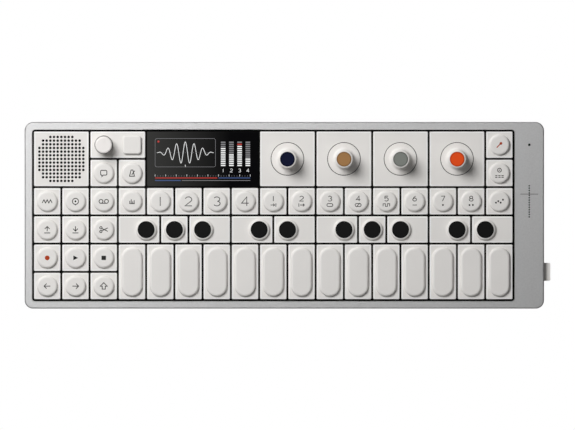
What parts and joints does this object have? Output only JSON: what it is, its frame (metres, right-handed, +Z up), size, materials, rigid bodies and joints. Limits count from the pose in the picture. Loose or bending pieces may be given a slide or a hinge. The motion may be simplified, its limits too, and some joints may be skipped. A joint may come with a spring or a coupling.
{
  "type": "portable synthesizer",
  "caption": "Flat portable synthesizer: metal case with a grid of round and piano-style keys, colour-capped encoders, display window, speaker grille and a side power slider.",
  "frame": {"origin": "middle of the box round the whole part, in the plane its feet stand on", "axes": "+X to the player's right along the case, +Y away from the player, +Z up"},
  "size_m": [0.2874, 0.102, 0.0262],
  "materials": {
    "aluminium": "bead blasted, anodised silver",
    "key_plastic": "fine matte, warm white",
    "tile_plastic": "fine matte, warm light grey",
    "dark_plastic": "matte black",
    "slider_plastic": "matte warm grey",
    "display_glass": "gloss black window",
    "navy_cap": "satin navy",
    "ochre_cap": "satin ochre",
    "grey_cap": "satin grey",
    "orange_cap": "satin orange",
    "board": "solder mask green",
    "silicone": "matte translucent grey",
    "steel": "zinc plated",
    "foil": "laminated pouch",
    "driver_metal": "black",
    "foot_rubber": "matte black"
  },
  "bodies": {
    "case": {"chassis": "aluminium", "base_plate": "aluminium", "key_deck": "dark_plastic", "speaker_grille": "tile_plastic", "control_tiles": "tile_plastic", "display_glass": "display_glass", "display_panel": "dark_plastic", "main_board": "board", "key_domes": "silicone", "rotary_bodies": "steel", "battery_pack": "foil", "speaker_driver": "driver_metal", "side_sockets": "dark_plastic", "feet": "foot_rubber", "case_screws": "steel"},
    "encoder_1": {"encoder_knob_1": "key_plastic", "encoder_cap_1": "navy_cap"},
    "encoder_2": {"encoder_knob_2": "key_plastic", "encoder_cap_2": "ochre_cap"},
    "encoder_3": {"encoder_knob_3": "key_plastic", "encoder_cap_3": "grey_cap"},
    "encoder_4": {"encoder_knob_4": "key_plastic", "encoder_cap_4": "orange_cap"},
    "volume": {"volume_knob": "key_plastic"},
    "paddle": {"bend_paddle": "key_plastic"},
    "slider": {"power_slider": "slider_plastic"},
    "record_key_body": {"record_key": "key_plastic"},
    "play_key_body": {"play_key": "key_plastic"},
    "stop_key_body": {"stop_key": "key_plastic"},
    "cursor_keys_body": {"cursor_keys": "key_plastic"},
    "edit_keys_body": {"edit_keys": "key_plastic"},
    "mode_keys_body": {"mode_keys": "key_plastic"},
    "track_keys_body": {"track_keys": "key_plastic"},
    "sound_keys_body": {"sound_keys": "key_plastic"},
    "upper_left_keys_body": {"upper_left_keys": "key_plastic"},
    "upper_right_keys_body": {"upper_right_keys": "key_plastic"},
    "white_key_01_body": {"white_key_01": "key_plastic"},
    "white_key_02_body": {"white_key_02": "key_plastic"},
    "white_key_03_body": {"white_key_03": "key_plastic"},
    "white_key_04_body": {"white_key_04": "key_plastic"},
    "white_key_05_body": {"white_key_05": "key_plastic"},
    "white_key_06_body": {"white_key_06": "key_plastic"},
    "white_key_07_body": {"white_key_07": "key_plastic"},
    "white_key_08_body": {"white_key_08": "key_plastic"},
    "white_key_09_body": {"white_key_09": "key_plastic"},
    "white_key_10_body": {"white_key_10": "key_plastic"},
    "white_key_11_body": {"white_key_11": "key_plastic"},
    "white_key_12_body": {"white_key_12": "key_plastic"},
    "white_key_13_body": {"white_key_13": "key_plastic"},
    "white_key_14_body": {"white_key_14": "key_plastic"},
    "black_key_01_body": {"black_key_01": "key_plastic"},
    "black_key_02_body": {"black_key_02": "key_plastic"},
    "black_key_03_body": {"black_key_03": "key_plastic"},
    "black_key_04_body": {"black_key_04": "key_plastic"},
    "black_key_05_body": {"black_key_05": "key_plastic"},
    "black_key_06_body": {"black_key_06": "key_plastic"},
    "black_key_07_body": {"black_key_07": "key_plastic"},
    "black_key_08_body": {"black_key_08": "key_plastic"},
    "black_key_09_body": {"black_key_09": "key_plastic"},
    "black_key_10_body": {"black_key_10": "key_plastic"}
  },
  "joints": [
    {"name": "encoder_1_turn", "type": "hinge", "parent": "case", "child": "encoder_1", "pos_m": [-0.00005, 0.0309, 0.0153], "axis": [0, 0, 1], "continuous": true},
    {"name": "encoder_2_turn", "type": "hinge", "parent": "case", "child": "encoder_2", "pos_m": [0.03085, 0.0309, 0.0153], "axis": [0, 0, 1], "continuous": true},
    {"name": "encoder_3_turn", "type": "hinge", "parent": "case", "child": "encoder_3", "pos_m": [0.06175, 0.0309, 0.0153], "axis": [0, 0, 1], "continuous": true},
    {"name": "encoder_4_turn", "type": "hinge", "parent": "case", "child": "encoder_4", "pos_m": [0.09265, 0.0309, 0.0153], "axis": [0, 0, 1], "continuous": true},
    {"name": "volume_turn", "type": "hinge", "parent": "case", "child": "volume", "pos_m": [-0.10047, 0.03862, 0.0153], "axis": [0, 0, 1], "range_deg": [-150, 150]},
    {"name": "paddle_rock", "type": "hinge", "parent": "case", "child": "paddle", "pos_m": [-0.08503, 0.03862, 0.011], "axis": [0, 1, 0], "range_deg": [-3, 3], "stiffness_Nm_per_rad": 0.05, "deforming": ["key_domes"]},
    {"name": "power_slide", "type": "slide", "parent": "case", "child": "slider", "axis": [0, 1, 0], "range_m": [0, 0.004]},
    {"name": "record_key_press", "type": "slide", "parent": "case", "child": "record_key_body", "axis": [0, 0, -1], "range_m": [0, 0.0012], "stiffness_N_per_m": 500, "springref_m": -0.0005, "deforming": ["key_domes"]},
    {"name": "play_key_press", "type": "slide", "parent": "case", "child": "play_key_body", "axis": [0, 0, -1], "range_m": [0, 0.0012], "stiffness_N_per_m": 500, "springref_m": -0.0005, "deforming": ["key_domes"]},
    {"name": "stop_key_press", "type": "slide", "parent": "case", "child": "stop_key_body", "axis": [0, 0, -1], "range_m": [0, 0.0012], "stiffness_N_per_m": 500, "springref_m": -0.0005, "deforming": ["key_domes"]},
    {"name": "cursor_keys_press", "type": "slide", "parent": "case", "child": "cursor_keys_body", "axis": [0, 0, -1], "range_m": [0, 0.0012], "stiffness_N_per_m": 500, "springref_m": -0.0005, "deforming": ["key_domes"]},
    {"name": "edit_keys_press", "type": "slide", "parent": "case", "child": "edit_keys_body", "axis": [0, 0, -1], "range_m": [0, 0.0012], "stiffness_N_per_m": 500, "springref_m": -0.0005, "deforming": ["key_domes"]},
    {"name": "mode_keys_press", "type": "slide", "parent": "case", "child": "mode_keys_body", "axis": [0, 0, -1], "range_m": [0, 0.0012], "stiffness_N_per_m": 500, "springref_m": -0.0005, "deforming": ["key_domes"]},
    {"name": "track_keys_press", "type": "slide", "parent": "case", "child": "track_keys_body", "axis": [0, 0, -1], "range_m": [0, 0.0012], "stiffness_N_per_m": 500, "springref_m": -0.0005, "deforming": ["key_domes"]},
    {"name": "sound_keys_press", "type": "slide", "parent": "case", "child": "sound_keys_body", "axis": [0, 0, -1], "range_m": [0, 0.0012], "stiffness_N_per_m": 500, "springref_m": -0.0005, "deforming": ["key_domes"]},
    {"name": "upper_left_keys_press", "type": "slide", "parent": "case", "child": "upper_left_keys_body", "axis": [0, 0, -1], "range_m": [0, 0.0012], "stiffness_N_per_m": 500, "springref_m": -0.0005, "deforming": ["key_domes"]},
    {"name": "upper_right_keys_press", "type": "slide", "parent": "case", "child": "upper_right_keys_body", "axis": [0, 0, -1], "range_m": [0, 0.0012], "stiffness_N_per_m": 500, "springref_m": -0.0005, "deforming": ["key_domes"]},
    {"name": "white_key_01_press", "type": "slide", "parent": "case", "child": "white_key_01_body", "axis": [0, 0, -1], "range_m": [0, 0.0012], "stiffness_N_per_m": 500, "springref_m": -0.0005, "deforming": ["key_domes"]},
    {"name": "white_key_02_press", "type": "slide", "parent": "case", "child": "white_key_02_body", "axis": [0, 0, -1], "range_m": [0, 0.0012], "stiffness_N_per_m": 500, "springref_m": -0.0005, "deforming": ["key_domes"]},
    {"name": "white_key_03_press", "type": "slide", "parent": "case", "child": "white_key_03_body", "axis": [0, 0, -1], "range_m": [0, 0.0012], "stiffness_N_per_m": 500, "springref_m": -0.0005, "deforming": ["key_domes"]},
    {"name": "white_key_04_press", "type": "slide", "parent": "case", "child": "white_key_04_body", "axis": [0, 0, -1], "range_m": [0, 0.0012], "stiffness_N_per_m": 500, "springref_m": -0.0005, "deforming": ["key_domes"]},
    {"name": "white_key_05_press", "type": "slide", "parent": "case", "child": "white_key_05_body", "axis": [0, 0, -1], "range_m": [0, 0.0012], "stiffness_N_per_m": 500, "springref_m": -0.0005, "deforming": ["key_domes"]},
    {"name": "white_key_06_press", "type": "slide", "parent": "case", "child": "white_key_06_body", "axis": [0, 0, -1], "range_m": [0, 0.0012], "stiffness_N_per_m": 500, "springref_m": -0.0005, "deforming": ["key_domes"]},
    {"name": "white_key_07_press", "type": "slide", "parent": "case", "child": "white_key_07_body", "axis": [0, 0, -1], "range_m": [0, 0.0012], "stiffness_N_per_m": 500, "springref_m": -0.0005, "deforming": ["key_domes"]},
    {"name": "white_key_08_press", "type": "slide", "parent": "case", "child": "white_key_08_body", "axis": [0, 0, -1], "range_m": [0, 0.0012], "stiffness_N_per_m": 500, "springref_m": -0.0005, "deforming": ["key_domes"]},
    {"name": "white_key_09_press", "type": "slide", "parent": "case", "child": "white_key_09_body", "axis": [0, 0, -1], "range_m": [0, 0.0012], "stiffness_N_per_m": 500, "springref_m": -0.0005, "deforming": ["key_domes"]},
    {"name": "white_key_10_press", "type": "slide", "parent": "case", "child": "white_key_10_body", "axis": [0, 0, -1], "range_m": [0, 0.0012], "stiffness_N_per_m": 500, "springref_m": -0.0005, "deforming": ["key_domes"]},
    {"name": "white_key_11_press", "type": "slide", "parent": "case", "child": "white_key_11_body", "axis": [0, 0, -1], "range_m": [0, 0.0012], "stiffness_N_per_m": 500, "springref_m": -0.0005, "deforming": ["key_domes"]},
    {"name": "white_key_12_press", "type": "slide", "parent": "case", "child": "white_key_12_body", "axis": [0, 0, -1], "range_m": [0, 0.0012], "stiffness_N_per_m": 500, "springref_m": -0.0005, "deforming": ["key_domes"]},
    {"name": "white_key_13_press", "type": "slide", "parent": "case", "child": "white_key_13_body", "axis": [0, 0, -1], "range_m": [0, 0.0012], "stiffness_N_per_m": 500, "springref_m": -0.0005, "deforming": ["key_domes"]},
    {"name": "white_key_14_press", "type": "slide", "parent": "case", "child": "white_key_14_body", "axis": [0, 0, -1], "range_m": [0, 0.0012], "stiffness_N_per_m": 500, "springref_m": -0.0005, "deforming": ["key_domes"]},
    {"name": "black_key_01_press", "type": "slide", "parent": "case", "child": "black_key_01_body", "axis": [0, 0, -1], "range_m": [0, 0.0012], "stiffness_N_per_m": 500, "springref_m": -0.0005, "deforming": ["key_domes"]},
    {"name": "black_key_02_press", "type": "slide", "parent": "case", "child": "black_key_02_body", "axis": [0, 0, -1], "range_m": [0, 0.0012], "stiffness_N_per_m": 500, "springref_m": -0.0005, "deforming": ["key_domes"]},
    {"name": "black_key_03_press", "type": "slide", "parent": "case", "child": "black_key_03_body", "axis": [0, 0, -1], "range_m": [0, 0.0012], "stiffness_N_per_m": 500, "springref_m": -0.0005, "deforming": ["key_domes"]},
    {"name": "black_key_04_press", "type": "slide", "parent": "case", "child": "black_key_04_body", "axis": [0, 0, -1], "range_m": [0, 0.0012], "stiffness_N_per_m": 500, "springref_m": -0.0005, "deforming": ["key_domes"]},
    {"name": "black_key_05_press", "type": "slide", "parent": "case", "child": "black_key_05_body", "axis": [0, 0, -1], "range_m": [0, 0.0012], "stiffness_N_per_m": 500, "springref_m": -0.0005, "deforming": ["key_domes"]},
    {"name": "black_key_06_press", "type": "slide", "parent": "case", "child": "black_key_06_body", "axis": [0, 0, -1], "range_m": [0, 0.0012], "stiffness_N_per_m": 500, "springref_m": -0.0005, "deforming": ["key_domes"]},
    {"name": "black_key_07_press", "type": "slide", "parent": "case", "child": "black_key_07_body", "axis": [0, 0, -1], "range_m": [0, 0.0012], "stiffness_N_per_m": 500, "springref_m": -0.0005, "deforming": ["key_domes"]},
    {"name": "black_key_08_press", "type": "slide", "parent": "case", "child": "black_key_08_body", "axis": [0, 0, -1], "range_m": [0, 0.0012], "stiffness_N_per_m": 500, "springref_m": -0.0005, "deforming": ["key_domes"]},
    {"name": "black_key_09_press", "type": "slide", "parent": "case", "child": "black_key_09_body", "axis": [0, 0, -1], "range_m": [0, 0.0012], "stiffness_N_per_m": 500, "springref_m": -0.0005, "deforming": ["key_domes"]},
    {"name": "black_key_10_press", "type": "slide", "parent": "case", "child": "black_key_10_body", "axis": [0, 0, -1], "range_m": [0, 0.0012], "stiffness_N_per_m": 500, "springref_m": -0.0005, "deforming": ["key_domes"]}
  ]
}
